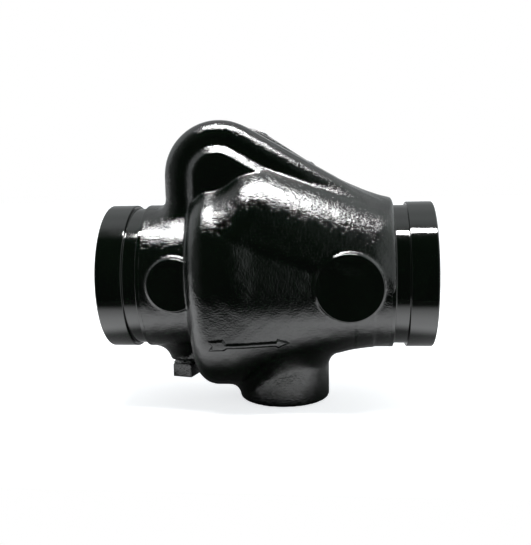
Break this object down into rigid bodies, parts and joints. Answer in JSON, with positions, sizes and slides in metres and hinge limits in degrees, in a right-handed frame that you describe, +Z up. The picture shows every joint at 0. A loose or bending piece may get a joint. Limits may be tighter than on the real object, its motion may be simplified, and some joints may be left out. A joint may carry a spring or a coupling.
{
  "type": "swing non-return valve",
  "caption": "Grooved-end swing check valve: pear-shaped bowl, sloping dome and flat-sided hood over a hinged clapper, with a bolted side cover, drain boss and square-head plug.",
  "frame": {"origin": "centre of the inlet face, on the flow axis", "axes": "+X along the flow from inlet to outlet, +Z up towards the hood, -Y towards the side with the flow arrow and the round pads, +Y towards the access cover"},
  "size_m": [0.198, 0.132, 0.1726],
  "materials": {
    "black_paint": "gloss black paint over sand-cast iron",
    "bronze": "machined bronze",
    "steel": "machined or zinc-plated steel",
    "iron": "bare ductile iron",
    "rubber": "moulded black rubber",
    "gasket": "fibre-reinforced gasket sheet"
  },
  "bodies": {
    "valve_body": {"body": "black_paint", "seat_ring": "bronze", "seat_o_ring": "rubber", "hinge_pin": "steel", "pin_clip": "steel", "thrust_washer_front": "bronze", "thrust_washer_rear": "bronze", "access_cover": "black_paint", "cover_gasket": "gasket", "cover_bolts": "steel", "cover_washers": "steel", "pipe_plug": "black_paint"},
    "arm": {"clapper_arm": "iron", "bush_front": "bronze", "bush_rear": "bronze"},
    "disc": {"clapper_disc": "iron", "disc_stud": "steel", "disc_facing": "rubber", "facing_retainer": "bronze", "retainer_screws": "steel", "stud_washer": "steel", "stud_nut": "steel", "cotter_pin": "steel"}
  },
  "joints": [
    {"name": "clapper_swing", "type": "hinge", "parent": "valve_body", "child": "arm", "pos_m": [0.081, 0, 0.061], "axis": [0, -1, 0], "range_deg": [0, 52]},
    {"name": "disc_spin", "type": "hinge", "parent": "arm", "child": "disc", "pos_m": [0.08, 0, 0], "axis": [1, 0, 0], "continuous": true}
  ]
}
